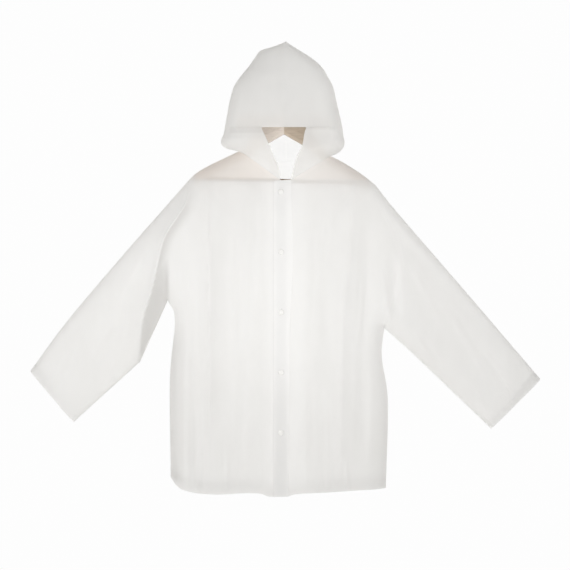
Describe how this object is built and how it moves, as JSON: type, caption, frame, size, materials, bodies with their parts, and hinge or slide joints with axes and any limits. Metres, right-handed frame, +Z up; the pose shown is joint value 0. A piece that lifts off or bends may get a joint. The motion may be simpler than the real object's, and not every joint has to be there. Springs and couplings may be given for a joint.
{
  "type": "hooded rain jacket on a hanger",
  "caption": "Hooded snap-front rain jacket of frosted translucent film, hanging flat with its sleeves spread on a wooden hanger with a trouser bar.",
  "frame": {"origin": "inside top of the hanger's hook, the point where the jacket and its hanger are held up", "axes": "+X to the wearer's left across the spread sleeves, +Y towards the back, +Z up; the front faces -Y"},
  "size_m": [1.247, 0.0942, 1.1088],
  "materials": {
    "frosted_film": "frosted translucent film, milky white",
    "doubled_film": "the same film in two layers, welded",
    "snap_plastic": "moulded, milky white, satin",
    "varnished_wood": "satin varnish, fine straight grain",
    "plated_wire": "bright plated wire"
  },
  "bodies": {
    "root": {"front_right": "frosted_film", "front_left": "frosted_film", "back": "frosted_film", "sleeve_right": "frosted_film", "sleeve_left": "frosted_film", "hood_right": "frosted_film", "hood_left": "frosted_film", "placket": "doubled_film", "hem_right": "doubled_film", "hem_left": "doubled_film", "hem_back": "doubled_film", "cuff_right": "doubled_film", "cuff_left": "doubled_film", "brim_right": "doubled_film", "brim_left": "doubled_film", "face_edge_right": "doubled_film", "face_edge_left": "doubled_film", "snap_1": "snap_plastic", "snap_2": "snap_plastic", "snap_3": "snap_plastic", "snap_4": "snap_plastic", "snap_5": "snap_plastic", "stud_1": "snap_plastic", "stud_2": "snap_plastic", "stud_3": "snap_plastic", "stud_4": "snap_plastic", "stud_5": "snap_plastic", "hanger_arms": "varnished_wood", "hanger_bar": "varnished_wood", "hanger_hook": "plated_wire"}
  },
  "joints": []
}
